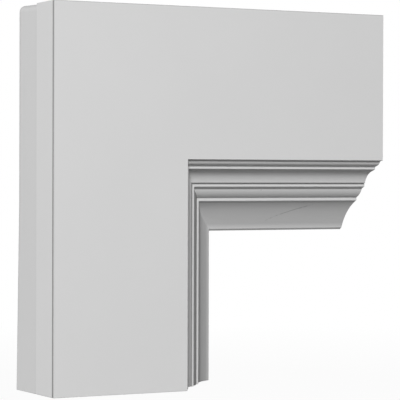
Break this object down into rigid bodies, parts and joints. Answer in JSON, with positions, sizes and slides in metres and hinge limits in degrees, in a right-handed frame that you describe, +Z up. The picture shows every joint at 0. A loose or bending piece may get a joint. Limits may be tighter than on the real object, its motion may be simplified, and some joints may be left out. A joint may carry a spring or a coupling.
{
  "type": "coffered ceiling inside corner moulding",
  "caption": "L-shaped inside corner for a coffered ceiling: flat face, plain outer sides, and a stepped crown of coves, fillets and an ovolo mitred along the inner edges.",
  "frame": {"origin": "middle of the bounding box in plan, at the height of the upright arm's sawn foot", "axes": "+Z up along the upright arm, +X along the level arm towards its free end, +Y from the flat face to the back that goes against the ceiling"},
  "size_m": [0.355, 0.072, 0.346],
  "materials": {
    "primer": "matte white factory primer on moulded rigid foam"
  },
  "bodies": {
    "root": {"ceiling_corner": "primer"}
  },
  "joints": []
}
